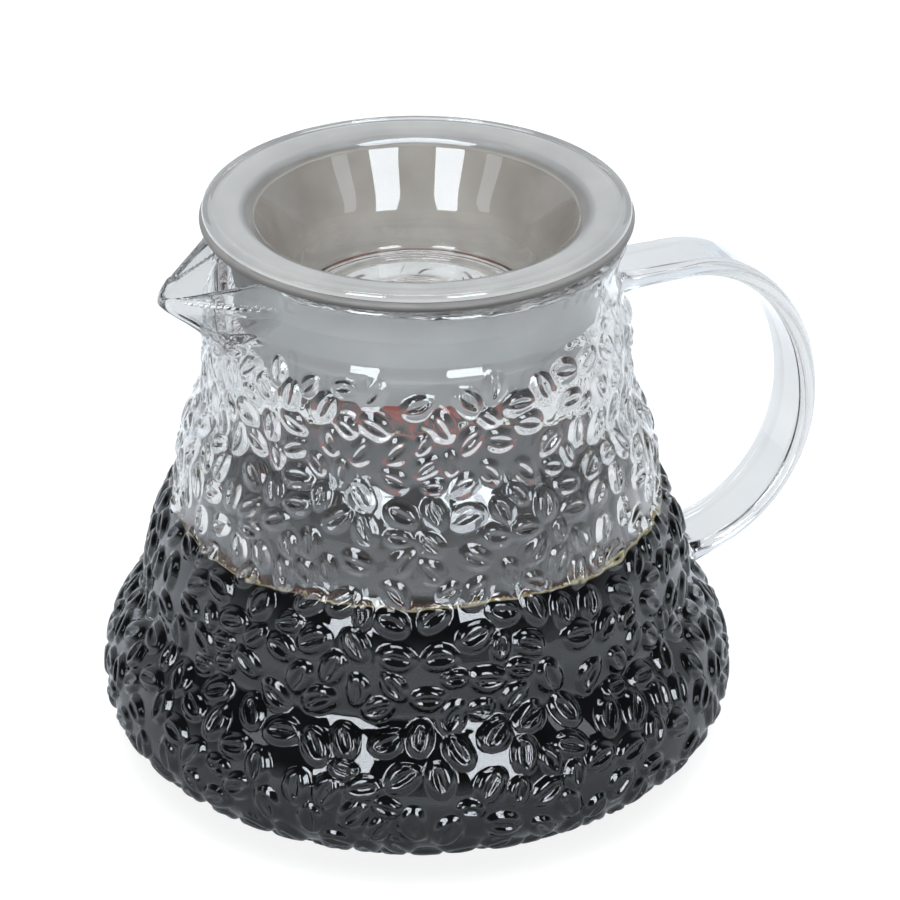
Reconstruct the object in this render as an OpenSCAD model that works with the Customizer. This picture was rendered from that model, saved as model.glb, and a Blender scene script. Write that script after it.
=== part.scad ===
// Glass coffee server: a tiered glass jug with a pouring lip and a fused strap
// handle, some coffee in it, and a pressed glass lid in a soft sealing sleeve.
// The foot's centre is the origin, +Z is up, the handle points along +X and
// the pouring lip along -X. Lengths are in millimetres.

/* [Body] */
// Radius of the flat foot that the body stands on
foot_r = 44.5; // [41:0.5:47]
// Radius of the first, lowest tier
tier1_r = 59.5; // [56:0.5:63]
// Height of the line where the first tier is widest
tier1_z = 13; // [10:0.5:15]
// Radius of the second tier
tier2_r = 51.4; // [49.5:0.1:53.5]
// Height of the crease under the second tier
tier2_z = 32; // [30:0.5:35]
// Radius of the third tier
tier3_r = 45.2; // [43.5:0.1:47]
// Height of the crease under the third tier
tier3_z = 54; // [51:0.5:57]
// Radius of the fourth tier
tier4_r = 39.8; // [38.5:0.1:41.5]
// Height of the crease under the fourth tier
tier4_z = 73.5; // [71:0.5:76]
// Height of the upright band at the foot of each tier
band_h = 3; // [2:0.5:5]
// Outer radius of the neck
neck_r = 36.6; // [35.8:0.1:37.6]
// How far up from the fourth tier's band to the rim the shoulder runs into the neck, as a share
neck_share = 0.59; // [0.52:0.01:0.64]
// Height of the rim
rim_z = 107; // [104:0.1:110]
// How far the mouth flares out from the neck to the rim
mouth_flare = 1.6; // [0.8:0.1:2.4]
// Height of the flared part below the rim
mouth_h = 5; // [3:0.5:7]
// Wall thickness of the glass
wall = 2.3; // [1.8:0.1:2.8]
// Thickness of the glass floor
floor_t = 4; // [3:0.5:6]

/* [Pouring lip] */
// How far the lip's tip stands out from the neck
lip_out = 13.4; // [10:0.2:16]
// How far the tip lies below the rim
lip_drop = 6.5; // [4:0.5:8]
// Half of the lip's width where it leaves the rim
lip_half_w = 13.5; // [12:0.5:16]
// How far the lip's keel meets the neck below the rim
lip_depth = 17.5; // [14:0.5:19]
// Thickness of the lip's glass
lip_t = 2.4; // [2:0.1:3]
// How deep the lip's glass starts in the rim and the neck
lip_sink = 0.4; // [0.2:0.1:0.8]

/* [Handle] */
// Width of the strap
strap_w = 13.2; // [10:0.2:15]
// Thickness of the strap
strap_t = 3.6; // [3:0.1:4.5]
// How far the strap's level upper run lies below the rim
handle_top_drop = 18.4; // [16:0.2:21]
// Height where the strap's bow is farthest out
handle_bow_z = 56; // [52:0.5:60]
// Height of the strap's lower end
handle_low_z = 27; // [25:0.5:30]
// Distance of the strap's middle from the axis where the bow is farthest out
handle_reach = 80.2; // [74:0.2:86]
// Distance from the axis where the level runs turn into the bow
handle_turn_x = 53; // [51:0.5:56]

/* [Lid] */
// How far the lid's flange reaches past the rim
flange_overhang = 0.7; // [0:0.1:2]
// Thickness of the lid's flange
flange_t = 1.7; // [1.5:0.1:2.5]
// How much the well's inside narrows from its opening to its floor
well_taper = 3.5; // [2:0.1:5]
// Radius of the rounded edge from the flange into the well
well_round = 3.6; // [2:0.1:5]
// Radius of the same edge on the glass's underside, where it sits in the seal
seat_round = 3.2; // [2:0.1:4]
// How much the well's outside narrows down to its foot
well_draft = 3; // [2:0.2:4.4]
// Depth of the well below the flange's top
well_depth = 20.5; // [17:0.5:22]
// Thickness of the well's wall
well_wall = 4.1; // [3:0.1:5]
// Thickness of the well's floor
well_floor_t = 4; // [3:0.5:5]
// Distance of the outer ring on the well's floor from the well's side
ring_inset = 4.8; // [4:0.2:9]
// Width of each ring, which is half round
ring_w = 1.2; // [0.8:0.1:1.6]

/* [Seal] */
// How far the seal's flange reaches past the rim
seal_overhang = 1.2; // [0.4:0.1:2.4]
// Thickness of the seal's flange between the rim and the lid
seal_flange_t = 1.3; // [0.8:0.1:2]
// Thickness of the sleeve in the neck
sleeve_t = 2.4; // [1.6:0.1:3]
// Thickness of the sleeve's edge at the well's foot
sleeve_foot_t = 1.5; // [1:0.1:2]
// Depth of the sleeve's straight band in the neck, below the rim
sleeve_band = 8; // [6:0.5:10]
// How far the sleeve's skirt reaches below the well's foot
sleeve_skirt = 2; // [1:0.5:4]
// How much the sleeve narrows from its band to the skirt's shoulder
sleeve_draft = 1.8; // [1:0.2:2.4]
// Height of the skirt's shoulder above its lower edge
skirt_shoulder = 6; // [4:0.5:8]

/* [Coffee] */
// Height of the coffee's surface
coffee_z = 50; // [40:1:52]

/* [Fits] */
// Gap round the sleeve in the neck
neck_gap = 0.3; // [0.2:0.05:0.5]
// Gap between the lid's glass and its sleeve, and under the seal's flange
seat_gap = 0.15; // [0.1:0.05:0.3]
// Gap between the coffee and the glass
fill_gap = 0.1; // [0.05:0.05:0.3]

/* [Hidden] */
$fn = 96;

// Lean of a tier's shoulder at its top, which shapes its curve
shoulder_lean = 60;
// Straight steps along a shoulder, along the flared mouth and along a rounded edge
shoulder_steps = 7;
mouth_steps = 4;
edge_steps = 5;
// Rings along a quarter of the handle's bow, and points on each rounded side
bow_steps = 14;
side_steps = 6;
// How far a cut runs past what it cuts
overrun = 1;
// Facets of the spheres that round the pouring lip
lip_fn = 24;
// How far the lip's trough is drawn in, and how large its corners are, as shares of the lip's thickness
trough_share = 0.92;
trough_corner_share = 0.05;

rim_r = neck_r + mouth_flare;
neck_foot_z = tier4_z + band_h;
neck_z = neck_foot_z + (rim_z - neck_foot_z) * neck_share;
rim_mid_z = rim_z - wall / 2;
handle_top_z = rim_z - handle_top_drop;
neck_in_r = neck_r - wall;
sleeve_r = neck_in_r - neck_gap;
flange_r = rim_r + flange_overhang;
seal_flange_r = rim_r + seal_overhang;
seal_z = rim_z + seat_gap;
flange_z = seal_z + seal_flange_t + seat_gap;
lid_top_z = flange_z + flange_t;
well_floor_z = lid_top_z - well_depth;
well_out_r = sleeve_r - sleeve_t - seat_gap;
well_r = well_out_r - well_wall;
well_floor_r = well_r - well_taper;
well_foot_r = well_out_r - well_draft;
well_bottom_z = well_floor_z - well_floor_t;
seat_r = well_out_r + seat_round;
seat_z = flange_z - seat_round;
skirt_z = well_bottom_z - sleeve_skirt;

// A shoulder from its upright lower end at r0, z0 to its leaning end at r1, z1
function shoulder(r0, z0, r1, z1) = [
    for (i = [0 : shoulder_steps])
    let (share = i / shoulder_steps, lean = shoulder_lean * share)
    [r0 - (r0 - r1) * (1 - cos(lean)) / (1 - cos(shoulder_lean)), z0 + (z1 - z0) * share]
];

function reversed(points) = [for (i = [len(points) - 1 : -1 : 0]) points[i]];

// The body's side from the foot to the neck, drawn in by inset, with its foot at base_z
function side(inset, base_z) = concat(
    reversed(shoulder(tier1_r - inset, tier1_z, foot_r - inset, base_z)),
    shoulder(tier1_r - inset, tier1_z + band_h, tier2_r - inset, tier2_z),
    shoulder(tier2_r - inset, tier2_z + band_h, tier3_r - inset, tier3_z),
    shoulder(tier3_r - inset, tier3_z + band_h, tier4_r - inset, tier4_z),
    shoulder(tier4_r - inset, neck_foot_z, neck_r - inset, neck_z)
);

// An arc about [x, z] from angle a0 to a1
function arc(x, z, radius, a0, a1) = [
    for (i = [0 : edge_steps])
    let (a = a0 + (a1 - a0) * i / edge_steps)
    [x + radius * cos(a), z + radius * sin(a)]
];

// The flared mouth from the neck up to just under the rim, drawn in by inset
function mouth(inset) = [
    for (i = [0 : mouth_steps - 1])
    let (share = i / mouth_steps)
    [neck_r - inset + mouth_flare * share * share, rim_mid_z - mouth_h * (1 - share)]
];

// The solid inside the body's side and mouth, closed at top_z
module side_solid(inset, base_z, top_z) {
    mouth_end = [[rim_r - inset, rim_mid_z], [rim_r - inset, top_z], [0, top_z]];
    rotate_extrude()
    polygon(concat([[0, base_z]], side(inset, base_z), mouth(inset), mouth_end));
}

// The outside of the glass, whose rim is half round
module outside() {
    rim_round = wall / 2;
    rim_arc = arc(rim_r - rim_round, rim_mid_z, rim_round, 0, 180);
    rotate_extrude()
    polygon(concat([[0, 0]], side(0, 0), mouth(0), rim_arc, [[0, rim_mid_z]]));
}

// The four corners of the lip: tip, two on the rim and the keel's foot, moved by shift
function lip_corners(shift) =
    let (edge = lip_t / 2, start = edge + lip_sink, rim_side = rim_r - start)
    let (rim_x = sqrt(rim_side * rim_side - lip_half_w * lip_half_w))
    [for (p = [
        [edge - neck_r - lip_out, 0, rim_z - lip_drop - edge],
        [-rim_x, lip_half_w, rim_z - start],
        [-rim_x, -lip_half_w, rim_z - start],
        [start - neck_r, 0, rim_z - lip_depth]
    ]) p + shift];

module lip_outside()
    hull()
    for (p = lip_corners([0, 0, 0]))
        translate(p) sphere(d = lip_t, $fn = lip_fn);

// The trough is the same shape drawn in by the glass, and open at the top
module lip_trough() {
    inward = lip_t * trough_share;
    hull()
    for (p = lip_corners([inward, 0, inward]))
        for (z = [p.z, rim_z + lip_t + overrun])
            translate([p.x, p.y, z]) cube(lip_t * trough_corner_share, center = true);
}

module carafe_body()
    color([0.86, 0.91, 0.93, 0.4])
    difference() {
        union() {
            outside();
            lip_outside();
        }
        side_solid(wall, floor_t, rim_z + overrun);
        lip_trough();
    }

// The middle line of the strap: [x, z, lean of its outer face]
handle_bow = concat(
    [[0, handle_top_z, 90]],
    [for (i = [0 : bow_steps])
        let (a = 90 - 90 * i / bow_steps)
        bow_point(a, handle_top_z - handle_bow_z)],
    [for (i = [1 : bow_steps])
        let (a = -90 * i / bow_steps)
        bow_point(a, handle_bow_z - handle_low_z)],
    [[0, handle_low_z, -90]]
);

// A point of an elliptic bow at parameter a, whose half height is rise
function bow_point(a, rise) =
    let (run = handle_reach - handle_turn_x)
    [handle_turn_x + run * cos(a), handle_bow_z + rise * sin(a), atan2(sin(a) * run, cos(a) * rise)];

// The strap's section: flat faces and half-round sides, as [across, outward]
strap_section =
    let (side_r = strap_t / 2, flat = strap_w / 2 - side_r)
    [for (s = [1, -1], i = [0 : side_steps])
        let (a = s * 90 - 180 * i / side_steps)
        [s * flat + side_r * cos(a), side_r * sin(a)]];

module strap() {
    sides = len(strap_section);
    rings = len(handle_bow);
    points = [
        for (p = handle_bow, q = strap_section)
        [p.x + q.y * cos(p.z), q.x, p.y + q.y * sin(p.z)]
    ];
    walls = [
        for (i = [0 : rings - 2], j = [0 : sides - 1])
        let (a = i * sides + j, b = i * sides + (j + 1) % sides)
        each [[a, a + sides, b], [b, a + sides, b + sides]]
    ];
    ends = [
        [for (j = [0 : sides - 1]) j],
        [for (j = [sides - 1 : -1 : 0]) (rings - 1) * sides + j]
    ];
    polyhedron(points, concat(walls, ends));
}

// The strap ends halfway into the body's wall, where the two are melted together
module handle()
    color([0.88, 0.92, 0.94, 0.4])
    difference() {
        strap();
        side_solid(wall / 2, -overrun, rim_z);
    }

module coffee()
    color([0.11, 0.08, 0.06])
    intersection() {
        side_solid(wall + fill_gap, floor_t + fill_gap, rim_z);
        cylinder(r = tier1_r, h = coffee_z);
    }

// The radius of the well's outside at height z, below the rounded seat
function well_side_r(z) =
    well_foot_r + (well_out_r - well_foot_r) * (z - well_bottom_z) / (seat_z - well_bottom_z);

module lid_seal()
    color([0.62, 0.64, 0.66, 0.8]) {
        skirt_r = well_side_r(skirt_z) + seat_gap;
        flange_edge = seal_flange_t / 2;
        rotate_extrude()
        polygon(concat(
            [[skirt_r, skirt_z], [skirt_r + sleeve_foot_t, skirt_z]],
            [[sleeve_r - sleeve_draft, skirt_z + skirt_shoulder]],
            [[sleeve_r, rim_z - sleeve_band], [sleeve_r, seal_z]],
            arc(seal_flange_r - flange_edge, seal_z + flange_edge, flange_edge, -90, 90),
            arc(seat_r, seat_z, seat_round - seat_gap, 90, 180)
        ));
    }

// One ring that stands up from the well's floor, as a half-round outline
function floor_ring(radius) = arc(radius, well_floor_z, ring_w / 2, 0, 180);

module lid_glass()
    color([0.78, 0.82, 0.82, 0.5]) {
        edge = flange_t / 2;
        floor_round = well_wall / 2;
        rotate_extrude()
        polygon(concat(
            [[0, well_bottom_z]],
            arc(well_foot_r - floor_round, well_bottom_z + floor_round, floor_round, -90, 0),
            arc(seat_r, seat_z, seat_round, 180, 90),
            arc(flange_r - edge, flange_z + edge, edge, -90, 90),
            arc(well_r + well_round, lid_top_z - well_round, well_round, 90, 180),
            arc(well_floor_r - floor_round, well_floor_z + floor_round, floor_round, 0, -90),
            floor_ring(well_floor_r - ring_inset),
            floor_ring((well_floor_r - ring_inset) / 2),
            [[0, well_floor_z]]
        ));
    }

carafe_body();
handle();
coffee();
lid_seal();
lid_glass();
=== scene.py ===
"""Looks of the glass coffee server: glass jug with raised beans, strap handle, coffee, seal and lid.

Shapes are worked out in millimetres in the row frame and turned into metres when a mesh is made.
"""

import math

import bpy
import numpy as np
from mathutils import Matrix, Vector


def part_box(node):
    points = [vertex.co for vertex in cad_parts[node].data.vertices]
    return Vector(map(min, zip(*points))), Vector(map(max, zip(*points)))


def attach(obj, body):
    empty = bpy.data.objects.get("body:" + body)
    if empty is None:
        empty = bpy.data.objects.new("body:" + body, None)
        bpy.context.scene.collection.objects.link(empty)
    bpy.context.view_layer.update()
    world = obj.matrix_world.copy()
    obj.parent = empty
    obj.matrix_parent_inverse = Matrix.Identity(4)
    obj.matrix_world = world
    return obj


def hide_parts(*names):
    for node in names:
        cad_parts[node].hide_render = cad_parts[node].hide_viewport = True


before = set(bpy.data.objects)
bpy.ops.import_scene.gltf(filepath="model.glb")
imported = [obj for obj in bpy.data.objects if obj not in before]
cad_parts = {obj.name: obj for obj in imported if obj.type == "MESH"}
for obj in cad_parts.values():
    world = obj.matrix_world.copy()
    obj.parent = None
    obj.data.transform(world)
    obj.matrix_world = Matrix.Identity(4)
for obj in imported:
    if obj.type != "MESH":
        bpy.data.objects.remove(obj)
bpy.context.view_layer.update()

MM = 0.001

# The camera's turn about the jug, and the level directions away from it and to its right
AZIMUTH = math.radians(-23.6)
BACK = (-math.sin(AZIMUTH), math.cos(AZIMUTH))
RIGHT = (BACK[1], -BACK[0])


def cad_mm(node, corner, axis):
    """One measure of a CAD node's box at rest, in mm. Corner 0 is its lowest and 1 its highest."""
    return round(float(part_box(node)[corner][axis]) / MM, 2)


# Sizes from the frame, in mm
COFFEE_Z = cad_mm("coffee", 1, 2)
LID_TOP_Z, WELL_BOTTOM_Z = cad_mm("lid_glass", 1, 2), cad_mm("lid_glass", 0, 2)
SKIRT_Z = cad_mm("lid_seal", 0, 2)
STRAP_W, STRAP_OUT_X = 2 * cad_mm("handle", 1, 1), cad_mm("handle", 1, 0)

# Sizes that the frame's boxes don't give exactly, as in the CAD's source, to 0.05 mm
FOOT_R, WALL, FLOOR_T = 44.5, 2.3, 4.0
BAND_H, NECK_R, NECK_Z, RIM_Z = 3.0, 36.6, 94.5, 107.0
MOUTH_FLARE, MOUTH_H = 1.6, 5.0
TIERS = ((59.5, 13.0), (51.4, 32.0), (45.2, 54.0), (39.8, 73.5))
SHOULDER_LEAN = math.radians(60)
LIP_OUT, LIP_DROP = 13.4, 6.5
STRAP_T = 3.6
HANDLE_TOP_Z, HANDLE_BOW_Z, HANDLE_LOW_Z = 88.6, 56.0, 27.0
HANDLE_REACH, HANDLE_TURN_X = STRAP_OUT_X - STRAP_T / 2, 53.0
SLEEVE_R, SLEEVE_FOOT_T, SLEEVE_DRAFT, SLEEVE_BAND, SKIRT_SHOULDER = 34.0, 1.5, 1.8, 8.0, 6.0
SEAL_R, SEAL_Z, SEAL_FLANGE_T = 39.4, 107.15, 1.3
FLANGE_R, FLANGE_Z = 38.9, 108.6
WELL_OUT_R, WELL_FOOT_R = 31.45, 28.45
WELL_R, WELL_FLOOR_R, WELL_FLOOR_Z = 27.35, 23.85, 89.8
RING_INSET = 4.8

# Columns of the glass body's mesh round its axis
COLUMNS = 1280


# Outlines

def shoulder(r0, z0, r1, z1, steps=60):
    """A shoulder from its upright lower end to its leaning upper end."""
    t = np.linspace(0, 1, steps)
    bend = (1 - np.cos(SHOULDER_LEAN * t)) / (1 - math.cos(SHOULDER_LEAN))
    return np.column_stack([r0 - (r0 - r1) * bend, z0 + (z1 - z0) * t])


def side(inset, base_z):
    """The body's side from the foot to the neck, drawn in by inset."""
    parts = [shoulder(TIERS[0][0] - inset, TIERS[0][1], FOOT_R - inset, base_z)[::-1]]
    for (r0, z0), (r1, z1) in zip(TIERS, TIERS[1:] + ((NECK_R, NECK_Z),)):
        parts.append(shoulder(r0 - inset, z0 + BAND_H, r1 - inset, z1))
    return np.vstack(parts)


def blur_weights(reach, step, blur):
    """Weights of a soft blur, reach steps to both sides, which add up to 1."""
    weights = np.exp(-0.5 * (np.arange(-reach, reach + 1) * step / blur) ** 2)
    return weights / weights.sum()


def softened(points, blur, step=0.1):
    """The outline at even steps along its length, with its corners softened by a blur in mm."""
    lengths = np.hypot(*np.diff(points, axis=0).T)
    keep = np.concatenate([[True], lengths > 1e-6])
    points = points[keep]
    s = np.concatenate([[0], np.cumsum(np.hypot(*np.diff(points, axis=0).T))])
    even = np.arange(0, s[-1], step)
    line = np.column_stack([np.interp(even, s, points[:, k]) for k in (0, 1)])
    reach = int(4 * blur / step)
    weights = blur_weights(reach, step, blur)
    ends = (2 * line[0] - line[reach:0:-1], 2 * line[-1] - line[-2:-reach - 2:-1])
    padded = np.vstack([ends[0], line, ends[1]])
    return np.column_stack([np.convolve(padded[:, k], weights, "valid") for k in (0, 1)])


def neck_eased(points, blur, neck_blur=3.2, neck_foot_z=84.0, over=6.0):
    """The softened outline, softer still where the last shoulder runs into the neck."""
    line, eased_line = softened(points, blur), softened(points, neck_blur)
    share = np.clip((line[:, 1] - neck_foot_z) / over, 0, 1)[:, None]
    return line + (eased_line - line) * share


def outline_data(points):
    """Length, radius, height and outward normal along an even outline."""
    steps = np.gradient(points, axis=0)
    steps /= np.hypot(*steps.T)[:, None]
    s = np.concatenate([[0], np.cumsum(np.hypot(*np.diff(points, axis=0).T))])
    return s, points[:, 0], points[:, 1], steps[:, 1], -steps[:, 0]


def mouth(inset):
    """The flared mouth from the neck up to the rim's middle, drawn in by inset."""
    t = np.linspace(0, 1, 12)
    return np.column_stack([NECK_R - inset + MOUTH_FLARE * t * t, OUT_TOP_Z - MOUTH_H * (1 - t)])


# The outlines start on the flat floor at FLAT_R, and the outside's rows of relief at FOOT_EDGE_R.
# The radius grows over each outline's first FLOOR_POINTS points, and the height grows after them.
FLAT_R, FOOT_EDGE_R = 30.0, 41.0
FLOOR_POINTS = 200
OUT_TOP_Z = RIM_Z - WALL / 2
FLARE_Z = OUT_TOP_Z - MOUTH_H
OUT_LINE = outline_data(neck_eased(np.vstack([[[FLAT_R, 0]], side(0, 0), mouth(0)]), blur=1.0))
IN_LINE = outline_data(
    neck_eased(np.vstack([[[FLAT_R, FLOOR_T]], side(WALL, FLOOR_T), mouth(WALL)]), blur=1.6)
)
OUT_S, OUT_R, OUT_Z = OUT_LINE[:3]


def s_of_floor(line, radius):
    """Length along an outline where its floor reaches a radius."""
    return float(np.interp(radius, line[1][:FLOOR_POINTS], line[0][:FLOOR_POINTS]))


def s_of_side(line, z):
    """Length along an outline where its side reaches a height."""
    return float(np.interp(z, line[2][FLOOR_POINTS:], line[0][FLOOR_POINTS:]))


OUT_FOOT_S = s_of_floor(OUT_LINE, FOOT_EDGE_R)


def s_of_z(z):
    """Length along the outside at a height."""
    rising = OUT_S > OUT_FOOT_S
    return np.interp(z, OUT_Z[rising], OUT_S[rising])


# Raised beans

# The relief ends at RELIEF_TOP_Z on a low shelf that rises from SHELF_FOOT_Z
BEAN_TOP_Z = 91.0
RELIEF_TOP_Z = 96.0
SHELF_H, SHELF_FOOT_Z = 0.9, 80.0

# Big beans are tried first, and smaller ones then fill the gaps. Sizes in mm depend on the height.
BEAN_TRIES, BIG_TRIES = 60000, 20000
BIG_SHARE, SMALL_SHARE = (0.92, 1.06), (0.72, 0.86)
BEAN_AT_Z, BEAN_HALF = (15, 45, 75), (3.7, 3.45, 3.2)
BEAN_SLIM = (0.7, 0.78)
BEAN_FOOT_GAP = 1.5
BEAN_SPACING = 0.94

# From the first of these lengths to the second, the domes turn rounder and lower
SOFTER_S = s_of_z(np.array([46.0, 60.0]))
DOME_STEEP, DOME_TALL = (0.42, 0.6), (1.0, 0.72)

# Shares of a bean's size: how far its relief reaches, its flat top, its bend and its groove
BEAN_REACH, BEAN_SKIRT = 1.25, 1.12
PLATEAU = 0.6
BEAN_BEND, BEND_MIDDLE = 0.04, 0.3
GROOVE_LONG, GROOVE_WIDE = 0.72, 0.32
GROOVE_SKIRT, GROOVE_EASE = 1.2, 0.8


def smooth(x):
    x = np.clip(x, 0, 1)
    return x * x * (3 - 2 * x)


def reach_of(half, width, tilt, toward):
    """Distance from a bean's middle to its edge in a direction."""
    a = toward - tilt
    return half * width / np.hypot(width * np.cos(a), half * np.sin(a))


def scatter_beans():
    """Beans that lie close together, with little overlap: length along the outline, angle, half length,
    half width, turn and bend."""
    rng = np.random.RandomState(23)
    low, high = OUT_FOOT_S + BEAN_FOOT_GAP, float(s_of_z(BEAN_TOP_Z))
    beans = np.zeros((0, 6))
    for attempt in range(BEAN_TRIES):
        s, angle = rng.uniform(low, high), rng.uniform(0, 2 * math.pi)
        r, z = np.interp(s, OUT_S, OUT_R), np.interp(s, OUT_S, OUT_Z)
        share = rng.uniform(*(BIG_SHARE if attempt < BIG_TRIES else SMALL_SHARE))
        half = np.interp(z, BEAN_AT_Z, BEAN_HALF) * share
        width, tilt = half * rng.uniform(*BEAN_SLIM), rng.uniform(0, math.pi)
        up = beans[:, 0] - s
        across = ((beans[:, 1] - angle + math.pi) % (2 * math.pi) - math.pi) * r
        toward = np.arctan2(up, across)
        room = reach_of(half, width, tilt, toward)
        room = room + reach_of(beans[:, 2], beans[:, 3], beans[:, 4], toward)
        if np.any(np.hypot(up, across) < BEAN_SPACING * room):
            continue
        beans = np.vstack([beans, [s, angle, half, width, tilt, rng.uniform(-1, 1)]])
    return beans


BEANS = scatter_beans()


def bean_relief(rows_s, rows_r, columns, dome_h, groove_h):
    """Height of the beans over a grid of rows and columns round the body."""
    relief = np.zeros((len(rows_s), columns))
    grooves = np.zeros((len(rows_s), columns))
    turn = 2 * math.pi / columns
    for s, angle, half, width, tilt, bend in BEANS:
        reach = BEAN_REACH * half
        rows = np.nonzero(np.abs(rows_s - s) < reach)[0]
        if not len(rows):
            continue
        r = rows_r[rows].mean()
        span = int(reach / r / turn) + 1
        middle = int(round(angle / turn))
        cols = np.arange(middle - span, middle + span + 1)
        across = (cols * turn - angle)[None, :] * rows_r[rows][:, None]
        up = (rows_s[rows] - s)[:, None]
        u = across * math.cos(tilt) + up * math.sin(tilt)
        v = up * math.cos(tilt) - across * math.sin(tilt)
        v = v - BEAN_BEND * bend * (u * u - BEND_MIDDLE * half * half)
        edge = np.hypot(u / half, v / width)
        rise = np.clip((BEAN_SKIRT - edge) / BEAN_SKIRT, 0, 1)
        steep, tall = np.interp(s, SOFTER_S, DOME_STEEP), np.interp(s, SOFTER_S, DOME_TALL)
        dome = PLATEAU * smooth(rise / steep) + (1 - PLATEAU) * (1 - (1 - rise) ** 2)
        lens = np.hypot(u / (GROOVE_LONG * half), v / (GROOVE_WIDE * width))
        groove = smooth((GROOVE_SKIRT - lens) / GROOVE_EASE)
        place = np.ix_(rows, cols % columns)
        relief[place] = np.maximum(relief[place], tall * dome_h * dome)
        grooves[place] = np.maximum(grooves[place], tall * groove_h * groove)
    return relief - grooves


def ripple(angles, s, size, seed, fewest=3, waves=9):
    """Slow waves of handmade glass over a grid, periodic round the body. Each has fewest turns or more."""
    rng = np.random.RandomState(seed)
    total = np.zeros((len(s), len(angles)))
    for _ in range(waves):
        turns = rng.randint(fewest, fewest + 26)
        total += rng.uniform(0.4, 1) * np.sin(
            turns * angles[None, :] + rng.uniform(-0.5, 0.5) * s[:, None] + rng.uniform(0, 2 * math.pi)
        )
    return size * total / math.sqrt(waves)


def wavy(angles, waves):
    """A sum of waves round the axis, each with a height in mm, a number of turns and a phase."""
    return sum(size * np.sin(turns * angles + phase) for size, turns, phase in waves)


# Pouring lip

# The lip's edge is drawn further out than the CAD's, and its wall is thinner, in mm
DRAWN_OUT, THINNED = 0.4, 0.3

# Where the lip's keel leaves the neck, and where its tip stands furthest out
KEEL_Z, TIP_Z = 87.4, 99.2

# The lip's half angle at the rim, its least share of that at the keel's foot, and how pointed it is
LIP_SPREAD, KEEL_SPREAD = math.radians(23.5), 0.06
LIP_POINTED = 1.8

# A ramp from 0 to 1 with soft ends, in steps of 0.01
RAMP_T = np.arange(-1, 3, 0.01)
RAMP_REACH, RAMP_BLUR = 30, 8.0
RAMP = np.convolve(
    np.pad(np.clip(RAMP_T, 0, 1), RAMP_REACH, mode="edge"), blur_weights(RAMP_REACH, 1, RAMP_BLUR), "valid"
)

# The rim's tilt down to the handle, and its waves: height in mm, turns and phase
HANDLE_SIDE_DROP = 2.2
RIM_WAVES = ((0.1, 5, 1), (0.07, 9, 2))
RIM_FINE_WAVES = ((0.04, 43, 0), (0.03, 71, 2))
RIM_LOWERED = 0.05
RIM_SOFT, RIM_DIP_POWER = 0.035, 0.8


def lip_share(angles, rise, soft):
    """How far the lip stands out there, as a share, for a rise of 0 at its keel's foot and 1 at its tip."""
    off = np.sqrt((angles - math.pi) ** 2 + soft ** 2) - soft
    spread = LIP_SPREAD * np.clip(rise, KEEL_SPREAD, 1.0)
    return np.interp(rise, RAMP_T, RAMP) * np.clip(1 - off / spread, 0, 1) ** LIP_POINTED


def rim_height(angles):
    """Height of the rim, which dips at the lip and a little at the handle."""
    share = lip_share(angles, np.ones_like(angles), RIM_SOFT) ** RIM_DIP_POWER
    sag = HANDLE_SIDE_DROP * (0.5 + 0.5 * np.cos(angles))
    beside = smooth((np.abs(angles - math.pi) - LIP_SPREAD) / 0.2)
    wobble = wavy(angles, RIM_WAVES) + beside * wavy(angles, RIM_FINE_WAVES) - RIM_LOWERED
    return RIM_Z - LIP_DROP * share - sag * (1 - share) + wobble * (1 - share)


# Meshes

def signed_volume(points, faces):
    """Volume of a closed mesh of triangles and quads, below zero if it is inside out."""
    total = 0.0
    for size in (3, 4):
        group = np.array([f for f in faces if len(f) == size])
        for k in range(1, size - 1) if len(group) else ():
            a, b, c = (points[group[:, i]] for i in (0, k, k + 1))
            total += np.einsum("ij,ij->i", a, np.cross(b, c)).sum() / 6
    return total


def mesh_piece(name, points, faces, materials, choices=None):
    """A smooth-shaded object from points in mm. Choices name each face's material by its number."""
    points = np.asarray(points, float)
    if signed_volume(points, faces) < 0:
        faces = [tuple(reversed(f)) for f in faces]
    mesh = bpy.data.meshes.new(name)
    mesh.from_pydata((points * MM).tolist(), [], faces)
    mesh.polygons.foreach_set("use_smooth", np.ones(len(mesh.polygons), bool))
    for material in materials:
        mesh.materials.append(material)
    if choices is not None:
        mesh.polygons.foreach_set("material_index", np.asarray(choices, np.int32))
    mesh.update()
    piece = bpy.data.objects.new(name, mesh)
    bpy.context.scene.collection.objects.link(piece)
    return piece


def grid_faces(rows, columns, closed_rows=False):
    """Quads of a grid that closes round its columns."""
    j, i = np.meshgrid(np.arange(rows if closed_rows else rows - 1), np.arange(columns), indexing="ij")
    after, up = (i + 1) % columns, (j + 1) % rows
    corners = [j * columns + i, j * columns + after, up * columns + after, up * columns + i]
    return np.stack(corners, axis=-1).reshape(-1, 4).tolist()


def capped(rings):
    """Points and faces of stacked rings [row, column, xyz], closed by a point at each end."""
    rows, columns = rings.shape[:2]
    points = np.vstack([rings.reshape(-1, 3), rings[0].mean(axis=0), rings[-1].mean(axis=0)])
    faces = grid_faces(rows, columns)
    first, last, top = rows * columns, rows * columns + 1, (rows - 1) * columns
    faces += [(first, (i + 1) % columns, i) for i in range(columns)]
    faces += [(top + i, top + (i + 1) % columns, last) for i in range(columns)]
    return points, faces


def rings_of(r, z, angles):
    """Rings from grids, or columns, of radius and height."""
    r, z = np.broadcast_arrays(r, z)
    r = np.broadcast_to(r, (len(r), len(angles)))
    z = np.broadcast_to(z, r.shape)
    return np.stack([r * np.cos(angles), r * np.sin(angles), z], axis=-1)


def level_rings(radii, z, angles):
    """Level rings of several radii at one height."""
    return rings_of(np.array(radii, float)[:, None], np.full((len(radii), 1), z), angles)


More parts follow.
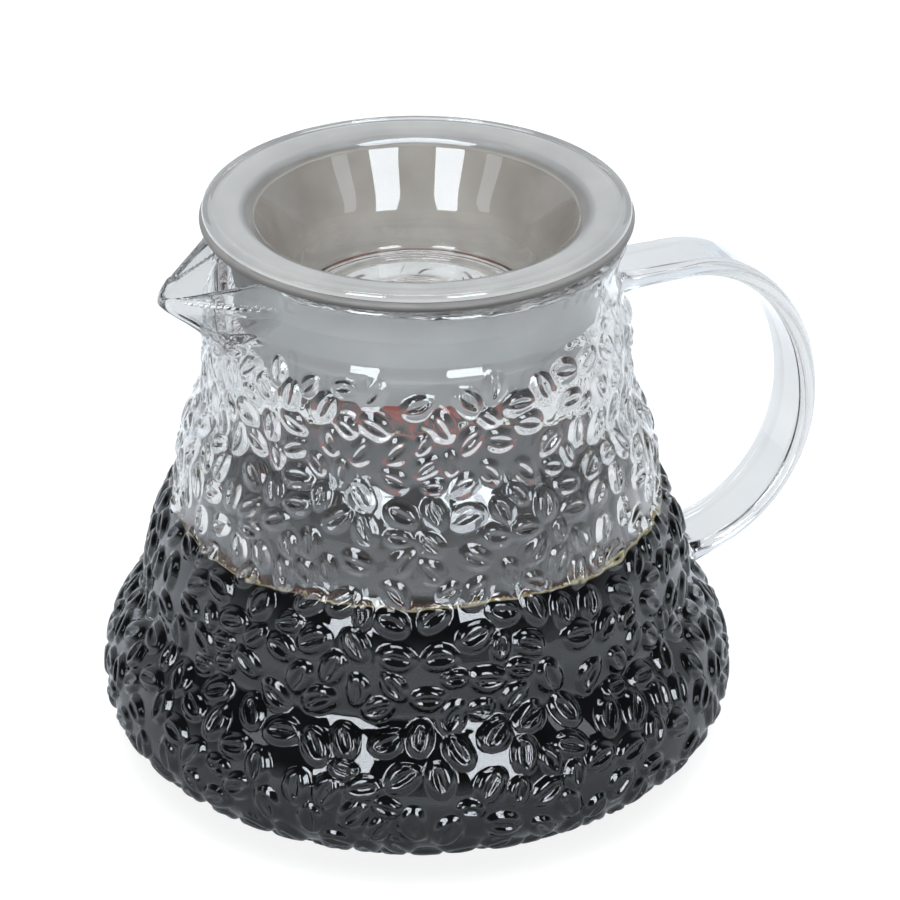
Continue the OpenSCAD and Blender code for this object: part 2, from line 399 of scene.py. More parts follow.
def arc(r, z, radius, a0, a1, steps=6):
    """Points of an arc in the plane of radius and height, with its ends."""
    a = np.radians(np.linspace(a0, a1, steps + 1))
    return np.column_stack([r + radius * np.cos(a), z + radius * np.sin(a)])


# Materials

GLASS_IOR = 1.5
TINT_MM = 14.0
SHADOW_TINT = (0.93, 0.95, 0.96, 1)


def new_material(name):
    """A material with an empty node tree, and that tree."""
    material = bpy.data.materials.new(name)
    material.use_nodes = True
    material.node_tree.nodes.clear()
    return material, material.node_tree


def add(tree, kind, sets=(), **attributes):
    """A node with attributes, and its inputs set or linked."""
    made = tree.nodes.new(kind)
    for key, value in attributes.items():
        setattr(made, key, value)
    for key, value in dict(sets).items():
        if isinstance(value, bpy.types.NodeSocket):
            tree.links.new(value, made.inputs[key])
        else:
            made.inputs[key].default_value = value
    return made


def number(tree, operation, a, b=0.0, c=0.0, clamp=False):
    """A Math node's result."""
    return add(tree, "ShaderNodeMath", {0: a, 1: b, 2: c}, operation=operation, use_clamp=clamp).outputs[0]


def eased(tree, value, low, high, start=0.0, end=1.0):
    """A value that goes softly from start to end, while another goes from low to high."""
    return add(
        tree,
        "ShaderNodeMapRange",
        {"Value": value, "From Min": low, "From Max": high, "To Min": start, "To Max": end},
        interpolation_type="SMOOTHSTEP",
    ).outputs["Result"]


def blend(tree, share, low, high):
    """A colour between two colours or sockets."""
    low, high = [c if isinstance(c, bpy.types.NodeSocket) else (*c, 1) for c in (low, high)]
    return add(tree, "ShaderNodeMix", {0: share, 6: low, 7: high}, data_type="RGBA").outputs[2]


def object_place(tree):
    """The place on a piece in metres, which moves with the piece."""
    return add(tree, "ShaderNodeTexCoord").outputs["Object"]


def along(tree, place, direction):
    """How far a place lies in a level direction (x, y)."""
    x, y, _ = add(tree, "ShaderNodeSeparateXYZ", {0: place}).outputs
    parts = [number(tree, "MULTIPLY", part, share) for part, share in zip((x, y), direction)]
    return number(tree, "ADD", *parts)


def mm_noise(tree, size_mm, detail=2.0):
    """Noise in object space whose features are about size_mm across."""
    sets = {"Vector": object_place(tree), "Scale": 1 / (size_mm * MM), "Detail": detail}
    return add(tree, "ShaderNodeTexNoise", sets).outputs["Fac"]


def ramp(tree, value, low, high, stops=(0.35, 0.65)):
    """Colours between low and high, chosen by a value."""
    made = add(tree, "ShaderNodeValToRGB", {"Fac": value})
    for element, place, colour in zip(made.color_ramp.elements, stops, (low, high)):
        element.position = place
        element.color = (*colour, 1)
    return made.outputs["Color"]


def bumped(tree, height, strength, distance_mm):
    """A normal for a surface with a height."""
    sets = {"Height": height, "Strength": strength, "Distance": distance_mm * MM}
    return add(tree, "ShaderNodeBump", sets).outputs["Normal"]


def glass_material(name, low, high, wave_mm=9.0, wave_strength=0.06):
    """Clear glass with slow waves and a faint change of tint; lamps shine through it."""
    material, tree = new_material(name)
    glass = add(
        tree,
        "ShaderNodeBsdfPrincipled",
        {
            "Base Color": ramp(tree, mm_noise(tree, TINT_MM), low, high),
            "Roughness": 0.0,
            "IOR": GLASS_IOR,
            "Transmission Weight": 1.0,
            "Normal": bumped(tree, mm_noise(tree, wave_mm, detail=1.5), wave_strength, 1),
        },
    )
    clear = add(tree, "ShaderNodeBsdfTransparent", {"Color": SHADOW_TINT})
    ray = add(tree, "ShaderNodeLightPath")
    mixed = add(
        tree,
        "ShaderNodeMixShader",
        {0: ray.outputs["Is Shadow Ray"], 1: glass.outputs[0], 2: clear.outputs[0]},
    )
    add(tree, "ShaderNodeOutputMaterial", {"Surface": mixed.outputs[0]})
    return material


def plain_material(name, colour, roughness, bump=None, bump_strength=0.2, bump_mm=0.1, **values):
    """A material that light doesn't pass. Colour, roughness, bump and values may be made from its tree."""
    material, tree = new_material(name)
    sets = {"Base Color": colour(tree), "Roughness": roughness(tree)}
    if bump:
        sets["Normal"] = bumped(tree, bump(tree), bump_strength, bump_mm)
    sets.update({key: value(tree) if callable(value) else value for key, value in values.items()})
    shader = add(tree, "ShaderNodeBsdfPrincipled", sets)
    add(tree, "ShaderNodeOutputMaterial", {"Surface": shader.outputs[0]})
    return material


def spread(low, high):
    """A map of noise to a range of roughness."""
    def build(tree):
        noise = mm_noise(tree, 6.0)
        sets = {"Value": noise, "From Min": 0.3, "From Max": 0.7, "To Min": low, "To Max": high}
        return add(tree, "ShaderNodeMapRange", sets).outputs["Result"]
    return build


def mottled(size_mm, low, high, detail=2.0):
    """A map of noise to colours between low and high."""
    return lambda tree: ramp(tree, mm_noise(tree, size_mm, detail), low, high)


body_glass = glass_material("body_glass", (0.97, 0.985, 0.985), (0.985, 0.99, 0.995), wave_strength=0.05)
handle_glass = glass_material("handle_glass", (0.97, 0.98, 0.985), (0.985, 0.99, 0.99), wave_mm=12.0)
lid_glass = glass_material(
    "lid_glass", (0.96, 0.965, 0.955), (0.97, 0.975, 0.965), wave_mm=11.0, wave_strength=0.04
)

# The painted glow's reach in metres: towards the back, from the foot's middle, its place and its half width
GLOW_BACK = (20 * MM, 31 * MM)
GLOW_FAR = (53 * MM, 60 * MM)
GLOW_RIGHT = 3 * MM
GLOW_HALF_W = (7 * MM, 21 * MM)
# The colour of the painted light from behind
PAINTED_GLOW_RED = (0.24, 0.028, 0.012)


def painted_backlight_glow(tree):
    """Painted light: where light from behind, shining through the coffee's thin edge at the back, is
    painted into its colour, in patches.
    """
    place = object_place(tree)
    far = add(tree, "ShaderNodeVectorMath", {0: place}, operation="LENGTH").outputs["Value"]
    glow = eased(tree, along(tree, place, BACK), *GLOW_BACK)
    glow = number(tree, "MULTIPLY", glow, eased(tree, far, *GLOW_FAR))
    aside = number(tree, "SUBTRACT", along(tree, place, RIGHT), GLOW_RIGHT)
    aside = number(tree, "ABSOLUTE", aside)
    glow = number(tree, "MULTIPLY", glow, eased(tree, aside, *GLOW_HALF_W, 1.0, 0.1))
    patchy = eased(tree, mm_noise(tree, 5.0, detail=3.0), 0.4, 0.6, 0.35, 1.0)
    return number(tree, "MULTIPLY", glow, patchy)


def coffee_colour(tree):
    """Near black, with red-brown painted light where light from behind shines through."""
    black = mottled(7.0, (0.008, 0.0065, 0.006), (0.013, 0.01, 0.009))(tree)
    return blend(tree, painted_backlight_glow(tree), black, PAINTED_GLOW_RED)


coffee_side = plain_material(
    "coffee_side",
    mottled(8.0, (0.004, 0.004, 0.0045), (0.007, 0.0065, 0.007)),
    spread(0.5, 0.7),
    **{"Specular IOR Level": 0.0},
)
coffee_top = plain_material(
    "coffee_top",
    coffee_colour,
    spread(0.02, 0.05),
    IOR=1.4,
    # The top shines less where the glow is painted, so that the painted light shows
    **{"Specular IOR Level": lambda tree: eased(tree, painted_backlight_glow(tree), 0.0, 0.8, 0.5, 0.1)},
)
# Painted light: a dark red-brown ring all round the coffee's thin edge, for light shining through it
coffee_edge_painted_light = plain_material(
    "coffee_edge_painted_light",
    mottled(4.0, (0.018, 0.009, 0.006), (0.05, 0.02, 0.01)),
    spread(0.03, 0.08),
    IOR=1.33,
)
foam_cream = plain_material(
    "foam_cream",
    mottled(1.5, (0.14, 0.1, 0.045), (0.36, 0.31, 0.17), detail=4.0),
    spread(0.25, 0.45),
    bump=lambda tree: mm_noise(tree, 0.5, detail=4.0),
    **{"Subsurface Weight": 0.1},
)
seal_silicone = plain_material(
    "seal_silicone",
    mottled(10.0, (0.212, 0.204, 0.194), (0.242, 0.233, 0.222)),
    spread(0.42, 0.55),
    bump=lambda tree: mm_noise(tree, 0.35, detail=3.0),
    bump_strength=0.25,
    bump_mm=0.05,
)

# Heights in metres between which the painted shade on the sleeve's wetted side turns from brown to pale
PAINTED_SHADE_Z = (107.0 * MM, 107.8 * MM)


def seal_painted_light_colour(tree):
    """Painted light and shade: paler than the outside silicone for light that gets through it, pale under
    the flange, and browner below the seat as painted shade where less light gets in.
    """
    noise = mm_noise(tree, 9.0)
    height = add(tree, "ShaderNodeSeparateXYZ", {0: object_place(tree)}).outputs[2]
    pale = ramp(tree, noise, (0.31, 0.303, 0.29), (0.352, 0.34, 0.326))
    brown = ramp(tree, noise, (0.33, 0.294, 0.257), (0.395, 0.355, 0.315))
    return blend(tree, eased(tree, height, *PAINTED_SHADE_Z), brown, pale)


# A lit and shaded copy of the silicone for the sleeve's side against the lid: painted light and shade
seal_painted_light = plain_material("seal_painted_light", seal_painted_light_colour, spread(0.42, 0.55))

# Glass body

angles = np.arange(COLUMNS) * 2 * math.pi / COLUMNS

# Steps between rows: on the outside's relief, on the plain glass, and on the inside under the lip
RELIEF_STEP, PLAIN_STEP, INSIDE_STEP = 0.28, 0.4, 1.5

# Heights in mm of the beans, their grooves, the relief's middle, which lies on the smooth outline, and
# the slow waves, first on the outside and then on the inside
DOME_H, GROOVE_H, RELIEF_MIDDLE, RIPPLE_H = 1.0, 0.6, 0.44, 0.035
INNER_DOME_H, INNER_GROOVE_H, INNER_MIDDLE, INNER_RIPPLE_H = 0.3, 0.08, 0.1, 0.07

# Lengths in mm over which the relief fades out at its top and foot, and over which the shelf rises
TOP_FADE, FOOT_FADE, SHELF_RISE = 2.8, 1.5, 8.0

# Radii of the rings under the foot, and on the floor inside, in mm
FOOT_RINGS, FLOOR_RINGS = (8, 16, 24, 31, 36), (34, 29, 23, 16, 8)
IN_FOOT_R = 38.0


def glass_rows(step, first, last, line):
    """Rows at even steps along an outline: length, radius, height and normal."""
    s = np.linspace(first, last, int(round((last - first) / step)) + 1)
    return [s] + [np.interp(s, line[0], column) for column in line[1:]]


def lifted(r, z, outside):
    """Adds the lip to radii, and fits heights over the keel's foot to the rim."""
    crest = rim_height(angles)[None, :]
    reach = (z - KEEL_Z) / (OUT_TOP_Z - KEEL_Z)
    z = np.where(reach > 0, KEEL_Z + reach * (crest - WALL / 2 - KEEL_Z), z)
    share = lip_share(angles[None, :], (z - KEEL_Z) / (TIP_Z - KEEL_Z), 0.04 if outside else 0.055)
    neck_r = NECK_R if outside else NECK_R - WALL
    tip_r = neck_r + LIP_OUT + (DRAWN_OUT if outside else DRAWN_OUT + THINNED)
    beside = smooth((math.radians(34) - np.abs(angles - math.pi)) / math.radians(14))[None, :]
    r = np.where(z > FLARE_Z, np.minimum(r, r + (neck_r - r) * beside), r)
    return r + (tip_r - r) * share, z


relief_s = float(s_of_z(RELIEF_TOP_Z + 0.5))
fine = glass_rows(RELIEF_STEP, OUT_FOOT_S, relief_s, OUT_LINE)
plain = glass_rows(PLAIN_STEP, relief_s, OUT_S[-1], OUT_LINE)
s, r, z, nr, nz = [np.concatenate([a, b[1:]]) for a, b in zip(fine, plain)]
relief = bean_relief(s, r, COLUMNS, DOME_H, GROOVE_H)
below_top = smooth((float(s_of_z(RELIEF_TOP_Z)) - s) / TOP_FADE)
textured = (below_top * smooth((s - OUT_FOOT_S) / FOOT_FADE))[:, None]
shelf = SHELF_H * (below_top * smooth((s - float(s_of_z(SHELF_FOOT_Z))) / SHELF_RISE))[:, None]
height = (relief - RELIEF_MIDDLE) * textured + shelf + ripple(angles, s, RIPPLE_H, seed=3)
out_r = r[:, None] + nr[:, None] * height
out_z = np.maximum(z[:, None] + nz[:, None] * height, 0.0)
out_r, out_z = lifted(out_r, out_z, True)

in_foot_s = s_of_floor(IN_LINE, IN_FOOT_R)
in_keel_s = s_of_side(IN_LINE, KEEL_Z - 2.0)
coarse = glass_rows(INSIDE_STEP, in_foot_s, in_keel_s, IN_LINE)
fine = glass_rows(PLAIN_STEP, in_keel_s, IN_LINE[0][-1], IN_LINE)
s, r, z, nr, nz = [np.concatenate([a, b[1:]])[::-1] for a, b in zip(coarse, fine)]


def inner_relief(r, z, columns, around):
    """Height of the inside over its smooth outline, into the wall: the beans show faintly through it."""
    s = s_of_z(z)
    beans = bean_relief(s, r, columns, INNER_DOME_H, INNER_GROOVE_H)
    faded = smooth((92.0 - z) / 4.0) * smooth((z - FLOOR_T - 0.5) / 3.0)
    waves = ripple(around, s, INNER_RIPPLE_H, seed=5, fewest=2)
    return (beans - INNER_MIDDLE) * faded[:, None] + waves * smooth((99.0 - z) / 6.0)[:, None]


height = inner_relief(r, z, COLUMNS, angles)
in_r = r[:, None] + nr[:, None] * height
in_z = z[:, None] + nz[:, None] * height
in_r, in_z = lifted(in_r, in_z, False)

crest = rim_height(angles)
across = np.radians(np.linspace(0, 180, 10)[1:-1])[:, None]
middle, half = (out_r[-1] + in_r[0]) / 2, (out_r[-1] - in_r[0]) / 2
rim_r = middle + half * np.cos(across)
rim_z = (crest - WALL / 2) + WALL / 2 * np.sin(across)

rings = np.concatenate([
    level_rings(FOOT_RINGS, 0.0, angles),
    rings_of(out_r, out_z, angles),
    rings_of(rim_r, rim_z, angles),
    rings_of(in_r, in_z, angles),
    level_rings(FLOOR_RINGS, FLOOR_T, angles),
])
carafe = mesh_piece("carafe_glass", *capped(rings), [body_glass])

# Coffee

COFFEE_COLUMNS = 360
COFFEE_STEP = 0.9
around = np.arange(COFFEE_COLUMNS) * 2 * math.pi / COFFEE_COLUMNS

# How far the coffee reaches into the glass, so that no air shows between them, in mm
OVERLAP = 0.1

# The coffee line's height over the coffee, its waves, and the height from which the side climbs to it
LINE_H = 0.9
LINE_WAVES = ((0.35, 3, 1), (0.25, 8, 2), (0.2, 17, 0), (0.15, 31, 4))
CLIMB_Z = 38.0

# Radii of the rings under the coffee, and where its side starts, in mm
COFFEE_FOOT_RINGS, COFFEE_FOOT_R = (10, 20, 30), 36.0

# Distances from the glass of the rings on the coffee's top, whose first few are its thin edge with painted
# red-brown light, in mm
TOP_INWARD = (0.25, 0.6, 1.1, 1.8, 2.8, 4.2, 6.5, 10, 15, 21, 28, 34)
EDGE_RINGS = 6

# The radius that those distances are shares of, and the distance over which the line's height fades
TOP_R, LINE_FADE = 46, 0.9

SIDE_CHOICE, TOP_CHOICE, EDGE_CHOICE = 0, 1, 2

line_height = COFFEE_Z + LINE_H + wavy(around, LINE_WAVES)
first_s, last_s = s_of_floor(IN_LINE, COFFEE_FOOT_R), s_of_side(IN_LINE, COFFEE_Z)
s, r, z, nr, nz = glass_rows(COFFEE_STEP, first_s, last_s, IN_LINE)
height = inner_relief(r, z, COFFEE_COLUMNS, around) + OVERLAP
wet_r, wet_z = r[:, None] + nr[:, None] * height, z[:, None] + nz[:, None] * height
climb = smooth((z - CLIMB_Z) / (COFFEE_Z - CLIMB_Z))[:, None]
wet_z = wet_z + climb * (line_height[None, :] - COFFEE_Z)
edge_r, edge_z = wet_r[-1], wet_z[-1]
inward = np.array(TOP_INWARD)[:, None]
top_r = edge_r * (1 - inward / TOP_R)
top_z = COFFEE_Z + (edge_z - COFFEE_Z) * np.exp(-inward / LINE_FADE)
rings = np.concatenate([
    level_rings(COFFEE_FOOT_RINGS, FLOOR_T - OVERLAP, around),
    rings_of(wet_r, wet_z, around),
    rings_of(top_r, top_z, around),
])
bands = np.full(len(rings) - 1, TOP_CHOICE)
side_bands = len(COFFEE_FOOT_RINGS) + len(wet_r) - 1
bands[:side_bands] = SIDE_CHOICE
bands[side_bands:side_bands + EDGE_RINGS] = EDGE_CHOICE
choices = np.concatenate([bands, [SIDE_CHOICE, TOP_CHOICE]]).repeat(COFFEE_COLUMNS)
coffee = mesh_piece("coffee_fill", *capped(rings), [coffee_side, coffee_top, coffee_edge_painted_light], choices)

# Foam

# The foam is thickest at this angle from the handle, towards the camera, in radians
FOAM_TURN = 0.35
BUBBLE_TRIES, FEWEST_BUBBLES = 520, 0.35
BUBBLE_R = (0.12, 0.36)


def foam_ring():
    """A thin uneven bead of foam on the glass at the coffee line, thicker towards the handle."""
    waves = ripple(around, np.array([0.0, 3.0, 7.0]), 1.0, seed=9, fewest=7, waves=18)
    handle_side = 0.5 + 0.5 * np.cos(around + FOAM_TURN)
    thick = np.clip(0.02 + 0.2 * waves[0] + 0.3 * handle_side, 0.02, 0.8)
    tall = np.clip(0.04 + 0.2 * waves[1] + 0.32 * handle_side, 0.03, 0.8)
    turn = np.radians(np.arange(0, 360, 30))[:, None]
    ring_r = edge_r - 0.05 - thick * (1 - np.cos(turn)) * 0.8
    ring_z = edge_z + 0.1 + tall * np.sin(turn)
    rings = rings_of(ring_r, ring_z, around)
    return rings.reshape(-1, 3), grid_faces(len(turn), COFFEE_COLUMNS, closed_rows=True)


def ball_points(levels=6, columns=10):
    """A small round bubble of radius 1."""
    tilt = np.radians(np.linspace(-90, 90, levels + 1)[1:-1])
    turn = np.arange(columns) * 2 * math.pi / columns
    return capped(rings_of(np.cos(tilt)[:, None], np.sin(tilt)[:, None], turn))


def foam_mesh():
    """The bead of foam, with bubbles along it that are fewest on the side of the lip."""
    rng = np.random.RandomState(7)
    points, faces = foam_ring()
    ball, ball_faces = ball_points()
    all_points = [points]
    count = len(points)
    for _ in range(BUBBLE_TRIES):
        a = rng.uniform(0, 2 * math.pi)
        share = FEWEST_BUBBLES + (1 - FEWEST_BUBBLES) * math.cos((a + FOAM_TURN) / 2) ** 2
        if rng.uniform() > share:
            continue
        k = int(a / (2 * math.pi) * COFFEE_COLUMNS) % COFFEE_COLUMNS
        size = rng.uniform(*BUBBLE_R)
        r = edge_r[k] - size - rng.uniform(0, 0.7)
        z = edge_z[k] + 0.1 + rng.uniform(-0.2, 0.4)
        all_points.append(ball * size + np.array([r * math.cos(a), r * math.sin(a), z]))
        faces += [tuple(count + i for i in f) for f in ball_faces]
        count += len(ball)
    return np.vstack(all_points), faces


foam = mesh_piece("coffee_foam", *foam_mesh(), [foam_cream])

# Handle

# How deep the strap's ends go into the body's smooth surface, in mm
STRAP_SUNK = 0.9

# How much wider and thicker the strap is at its ends, and over which length that fades, in mm
FLARE_W, FLARE_T = 0.14, 0.4
FLARE_UPPER, FLARE_LOWER = 3.2, 3.0

# Points of the strap's section on each rounded side, and across each flat face as shares of its half
SIDE_POINTS = 13
FLAT_POINTS = np.array([0.9, 0.5, 0.0, -0.5, -0.9])


def strap_path(steps=48):
    """The strap's middle line from inside the neck to inside the body: x, z and its outer face's lean."""
    upper = [(x, HANDLE_TOP_Z, 90.0) for x in np.arange(NECK_R - STRAP_SUNK, HANDLE_TURN_X, 1.0)]
    a = np.radians(np.linspace(90, -90, 2 * steps + 1))
    rise = np.where(a > 0, HANDLE_TOP_Z - HANDLE_BOW_Z, HANDLE_BOW_Z - HANDLE_LOW_Z)
    run = HANDLE_REACH - HANDLE_TURN_X
    bow = np.column_stack([
        HANDLE_TURN_X + run * np.cos(a), HANDLE_BOW_Z + rise * np.sin(a),
        np.degrees(np.arctan2(np.sin(a) * run, np.cos(a) * rise)),
    ])
    return np.vstack([upper, bow])


path = strap_path()
gone = np.concatenate([[0], np.cumsum(np.hypot(*np.diff(path[:, :2], axis=0).T))])
body_here = np.interp(path[:, 1], OUT_Z[FLOOR_POINTS:], OUT_R[FLOOR_POINTS:])
outside = path[:, 0] > body_here - STRAP_SUNK
path, gone = path[outside], gone[outside]
upper_d = gone - gone[0] - STRAP_SUNK
lower_d = gone[-1] - gone - STRAP_SUNK
near = np.exp(-np.maximum(upper_d, 0) / FLARE_UPPER) + np.exp(-np.maximum(lower_d, 0) / FLARE_LOWER)
wide = STRAP_W * (1 + FLARE_W * near[:, None]) / 2
thick = STRAP_T * (1 + FLARE_T * near[:, None]) / 2
turn = np.radians(np.linspace(90, -90, SIDE_POINTS))
sides, flats = np.ones(SIDE_POINTS), np.ones(len(FLAT_POINTS))
flat = np.concatenate([sides, FLAT_POINTS, -sides, -FLAT_POINTS])
bulge = np.concatenate([np.cos(turn), 0 * flats, -np.cos(turn), 0 * flats])
rise = np.concatenate([np.sin(turn), -flats, -np.sin(turn), flats])
lean = np.radians(path[:, 2])[:, None]
out = rise * thick
strap = np.stack([
    path[:, 0:1] + out * np.cos(lean),
    flat * (wide - thick) + bulge * thick,
    path[:, 1:2] + out * np.sin(lean),
], axis=-1)
handle = mesh_piece("handle_strap", *capped(strap), [handle_glass])

# Seal and lid

TURNS = 256
round_angles = np.arange(TURNS) * 2 * math.pi / TURNS

# The soft sleeve lies against the lid's glass with no air between them, and reaches this far into it
WETTED = 0.05

# The corner between the lid's well and flange, tighter here than the CAD's 3.2 mm, as in the photo
SEAT_ROUND = 1.2


def rounded(corners, steps=6):
    """An outline whose corners (r, z, radius) are rounded."""
    line = []
    count = len(corners)
    for k, (r, z, radius) in enumerate(corners):
        here = np.array([r, z])
        if not radius:
            line.append(here)
            continue
        before, after = np.array(corners[k - 1][:2]), np.array(corners[(k + 1) % count][:2])
        a, b = [(there - here) / np.linalg.norm(there - here) for there in (before, after)]
        half = math.acos(max(-1, min(1, float(a @ b)))) / 2
        back = radius / math.tan(half)
        centre = here + (a + b) / np.linalg.norm(a + b) * radius / math.sin(half)
        p, q = here + a * back - centre, here + b * back - centre
        sweep = math.atan2(p[0] * q[1] - p[1] * q[0], float(p @ q))
        for t in np.linspace(0, 1, steps + 1):
            c, s = math.cos(sweep * t), math.sin(sweep * t)
            line.append(centre + np.array([p[0] * c - p[1] * s, p[0] * s + p[1] * c]))
    return np.array(line)


def refined(line, longest):
    """The outline with extra points where it is straight for long."""
    fine = [line[0]]
    for a, b in zip(line, line[1:]):
        parts = max(1, int(math.ceil(np.linalg.norm(b - a) / longest)))
        fine += [a + (b - a) * k / parts for k in range(1, parts + 1)]
    return np.array(fine)


seat_z = FLANGE_Z - SEAT_ROUND
seat = arc(WELL_OUT_R + SEAT_ROUND, seat_z, SEAT_ROUND + WETTED, 90, 178, 12)
well_slope = (WELL_OUT_R - WELL_FOOT_R) / (seat_z - WELL_BOTTOM_Z)
skirt_in = WELL_OUT_R - WETTED - well_slope * (seat_z - SKIRT_Z)
seal_outside = refined(rounded([
    (skirt_in, SKIRT_Z, 0),
    (skirt_in + SLEEVE_FOOT_T, SKIRT_Z, 0.6),
    (SLEEVE_R - SLEEVE_DRAFT, SKIRT_Z + SKIRT_SHOULDER, 2.0),
    (SLEEVE_R, RIM_Z - SLEEVE_BAND, 2.0),
    (SLEEVE_R, SEAL_Z, 0.6),
    (SEAL_R, SEAL_Z, 0.6),
    (SEAL_R, SEAL_Z + SEAL_FLANGE_T, 0.6),
    (FLANGE_R - 1.2, FLANGE_Z + WETTED, 0),
]), 1.5)
seal_inside = refined(np.vstack([seal_outside[-1:], seat, seal_outside[:1]]), 1.5)
# The inside, against the lid's glass, takes the painted light and shade, and the outside the plain silicone
choices = np.repeat([0, 1], [len(seal_outside) - 1, len(seal_inside) - 1]).repeat(TURNS)
seal_line = np.vstack([seal_outside, seal_inside[1:-1]])
seal_rings = rings_of(seal_line[:, 0:1], seal_line[:, 1:2], round_angles)
seal_faces = grid_faces(len(seal_rings), TURNS, closed_rows=True)
seal = mesh_piece(
    "seal_sleeve", seal_rings.reshape(-1, 3), seal_faces, [seal_silicone, seal_painted_light], choices
)

# From the middle of the lid's underside out to its flange, over its bead and down the well to its floor
lid_line = rounded([
    (0.01, WELL_BOTTOM_Z, 0),
    (WELL_FOOT_R, WELL_BOTTOM_Z, 2.2),
    (WELL_OUT_R, seat_z, 0),
    (WELL_OUT_R, FLANGE_Z, SEAT_ROUND),
    (FLANGE_R, FLANGE_Z, 0.7),
    (FLANGE_R, LID_TOP_Z - 0.05, 0.9),
    (FLANGE_R - 1.6, LID_TOP_Z + 0.05, 0.9),
    (FLANGE_R - 2.3, LID_TOP_Z - 0.35, 0.9),
    (FLANGE_R - 3.2, LID_TOP_Z - 0.1, 0.8),
    (WELL_R + 4.75, LID_TOP_Z - 0.1, 9.4),
    (WELL_R + 2.05, LID_TOP_Z - 2.4, 0.8),
    (WELL_R - 4.4, LID_TOP_Z - 12.8, 10.0),
    (WELL_FLOOR_R - 1.2, WELL_FLOOR_Z, 2.0),
], steps=10)
ring_mid = WELL_FLOOR_R - RING_INSET
floor_line = np.vstack([
    arc(middle_r, WELL_FLOOR_Z - 0.25, radius + 0.1, 25, 155, 8)
    for middle_r, radius in ((ring_mid + 2.4, 0.75), (ring_mid, 0.85), (ring_mid / 2, 0.7))
])
lid_line = refined(np.vstack([lid_line, floor_line, [[0.01, WELL_FLOOR_Z]]]), 1.6)
lid_rings = rings_of(lid_line[:, 0:1], lid_line[:, 1:2], round_angles)
lid = mesh_piece("lid_pressed", *capped(lid_rings), [lid_glass])

# Bodies, nodes and slot names: each piece is attached to its body and hides the CAD nodes it replaces

for piece, body, nodes, slot_name in (
    (carafe, "jug", ["carafe_body"], "body_glass"),
    (handle, "jug", ["handle"], "handle_glass"),
    (coffee, "jug", ["coffee"], "coffee"),
    (foam, "jug", [], "coffee"),
    (seal, "seal", ["lid_seal"], "seal_silicone"),
    (lid, "lid", ["lid_glass"], "lid_glass"),
):
    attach(piece, body)
    if nodes:
        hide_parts(*nodes)

# Floor

# The floor's width in metres, its cells to a side, and its depth under the foot in mm
FLOOR_SIZE, FLOOR_CELLS, FLOOR_GAP = 6.0, 12, 0.2

# The floor's own light, for the camera, through glass, and in reflections near the jug and far from it; in
# reflections it is dimmer near the jug, as a painted shade round the foot
SEEN, SEEN_THROUGH, MIRRORED_NEAR, MIRRORED_FAR = 0.86, 0.5, 0.4, 1.35
NEAR_M, FAR_M = 0.04, 0.19

floor_material, tree = new_material("pale_floor")
cloth = add(
    tree,
    "ShaderNodeBsdfDiffuse",
    {"Color": mottled(30.0, (0.24, 0.24, 0.24), (0.26, 0.26, 0.26))(tree), "Roughness": 0.0},
)
ray = add(tree, "ShaderNodeLightPath").outputs
away = add(tree, "ShaderNodeVectorMath", {0: object_place(tree)}, operation="LENGTH").outputs["Value"]
# A ray through smooth glass counts as glossy too, so only its share as a transmission ray is taken
mirrored = number(tree, "SUBTRACT", ray["Is Glossy Ray"], ray["Is Transmission Ray"], clamp=True)
strength = number(tree, "MULTIPLY", ray["Is Camera Ray"], SEEN)
strength = number(tree, "MULTIPLY_ADD", ray["Is Transmission Ray"], SEEN_THROUGH, strength)
# Painted shade: in reflections the floor's light is dimmer near the jug than far from it
reflected = eased(tree, away, NEAR_M, FAR_M, MIRRORED_NEAR, MIRRORED_FAR)
strength = number(tree, "MULTIPLY_ADD", mirrored, reflected, strength)
cool = blend(tree, mirrored, (0.95, 0.99, 1.03), (0.86, 0.95, 1.04))
cool = blend(tree, ray["Is Camera Ray"], cool, (1, 1, 1))
glow = add(tree, "ShaderNodeEmission", {"Color": cool, "Strength": strength})
both = add(tree, "ShaderNodeAddShader", {0: cloth.outputs[0], 1: glow.outputs[0]})
add(tree, "ShaderNodeOutputMaterial", {"Surface": both.outputs[0]})

ticks = np.linspace(-FLOOR_SIZE / 2, FLOOR_SIZE / 2, FLOOR_CELLS + 1)
floor_points = [(x, y, -FLOOR_GAP * MM) for y in ticks for x in ticks]
floor_faces = []
for j in range(FLOOR_CELLS):
    for i in range(FLOOR_CELLS):
        low, high = j * (FLOOR_CELLS + 1) + i, (j + 1) * (FLOOR_CELLS + 1) + i
        floor_faces.append((low, low + 1, high + 1, high))
floor_mesh = bpy.data.meshes.new("floor")
floor_mesh.from_pydata(floor_points, [], floor_faces)
floor_mesh.materials.append(floor_material)
floor = bpy.data.objects.new("floor", floor_mesh)
bpy.context.scene.collection.objects.link(floor)

# World

# The room is dark overhead and on the camera's side, and pale behind the jug and near the horizon
DARK, PALE = (0.033, 0.036, 0.04), (0.71, 0.765, 0.82)

world = bpy.data.worlds.new("studio")
bpy.context.scene.world = world
world.use_nodes = True
tree = world.node_tree
tree.nodes.clear()
toward = add(tree, "ShaderNodeTexCoord").outputs["Generated"]
z = add(tree, "ShaderNodeSeparateXYZ", {0: toward}).outputs[2]
back = eased(tree, along(tree, toward, BACK), 0.05, 0.45)
below_top = eased(tree, z, 0.72, 0.92, 1.0, 0.0)
low = eased(tree, z, 0.02, 0.3, 1.0, 0.0)
lit = number(tree, "MAXIMUM", number(tree, "MULTIPLY", back, below_top), low)
shade = blend(tree, lit, DARK, PALE)
ray = add(tree, "ShaderNodeLightPath").outputs
seen = blend(tree, ray["Is Camera Ray"], shade, (1, 1, 1))
sky = add(tree, "ShaderNodeBackground", {"Color": seen, "Strength": 1.0})
add(tree, "ShaderNodeOutputWorld", {"Surface": sky.outputs[0]})

# Lamps

# The point that the lamps face, in metres
TARGET = (0.0, 0.0, 0.055)
COOL, PLAIN = (0.88, 0.94, 1.0), (1.0, 1.0, 1.0)


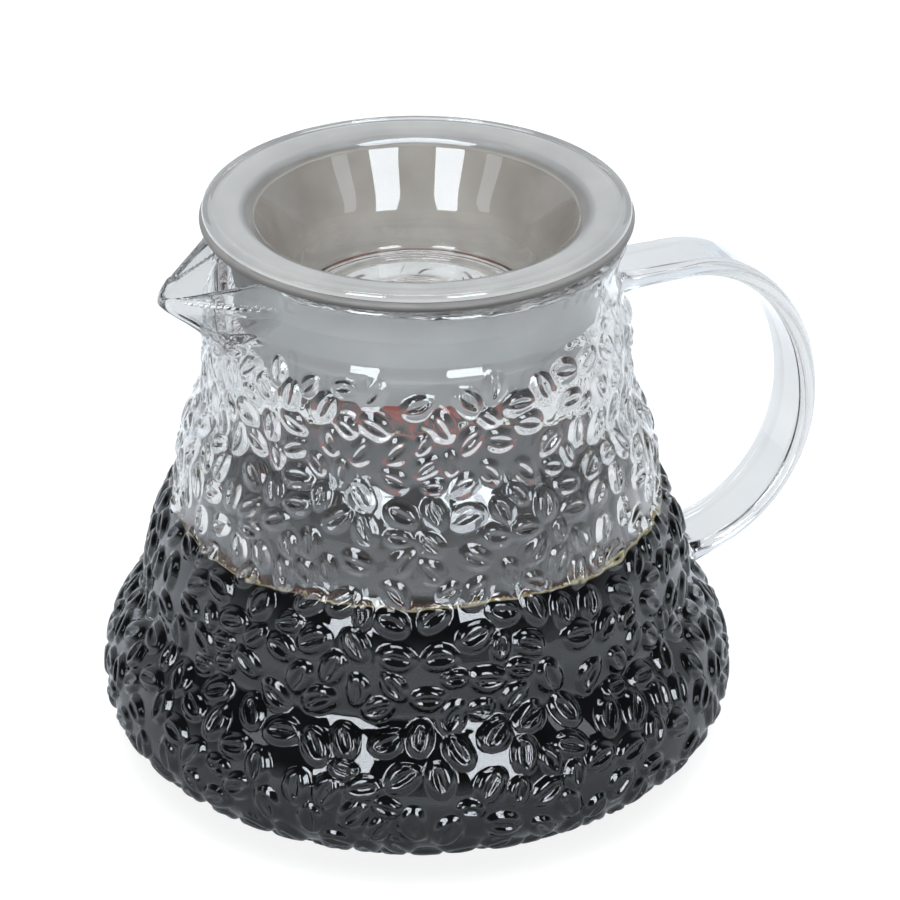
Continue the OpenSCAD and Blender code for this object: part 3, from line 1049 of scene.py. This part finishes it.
def softbox(name, turn, lift, distance, width, tall, radiance, colour, on_matt):
    """A rectangular lamp that faces the jug, for matt surfaces or for shiny ones.

    Its turn is measured from the camera's side, in degrees.
    """
    light = bpy.data.lights.new(name, "AREA")
    light.shape = "RECTANGLE"
    light.size, light.size_y = width, tall
    light.energy = radiance * math.pi * width * tall
    light.color = colour
    lamp = bpy.data.objects.new(name, light)
    a, e = AZIMUTH + math.radians(turn), math.radians(lift)
    away = (math.sin(a) * math.cos(e), -math.cos(a) * math.cos(e), math.sin(e))
    lamp.location = [t + distance * c for t, c in zip(TARGET, away)]
    lamp.rotation_euler = (math.pi / 2 - e, 0, a)
    lamp.visible_camera = False
    lamp.visible_diffuse = on_matt
    lamp.visible_glossy = lamp.visible_transmission = not on_matt
    bpy.context.scene.collection.objects.link(lamp)


softbox("strip_left", -27, 27, 1.25, 0.39, 0.74, 16, COOL, False)
softbox("strip_right", 27, 27, 1.25, 0.39, 0.74, 16, COOL, False)
softbox("fill_left", -62, 30, 1.4, 0.25, 0.5, 3, COOL, False)
softbox("fill_right", 62, 30, 1.4, 0.25, 0.5, 3, COOL, False)
softbox("overhead", 180, 88, 1.3, 0.8, 0.25, 12, COOL, False)
softbox("key_left", -16, 80, 1.4, 0.8, 1.0, 4.8, PLAIN, True)
softbox("key_right", 16, 80, 1.4, 0.8, 1.0, 4.8, PLAIN, True)

# Camera and render limits

camera = bpy.data.cameras.new("camera")
camera.sensor_width = 36
camera.lens = 152.97
camera.shift_x, camera.shift_y = 0.0368, -0.0123
camera.clip_start, camera.clip_end = 0.02, 20
viewer = bpy.data.objects.new("camera", camera)
viewer.location = (-0.2513, -0.5752, 0.40098)
viewer.rotation_euler = (math.radians(61.584), 0, AZIMUTH)
bpy.context.scene.collection.objects.link(viewer)
bpy.context.scene.camera = viewer

scene = bpy.context.scene
scene.view_settings.view_transform = "Standard"
scene.cycles.max_bounces = 24
scene.cycles.transmission_bounces = 20
scene.cycles.glossy_bounces = 10
scene.cycles.diffuse_bounces = 3
scene.cycles.transparent_max_bounces = 16
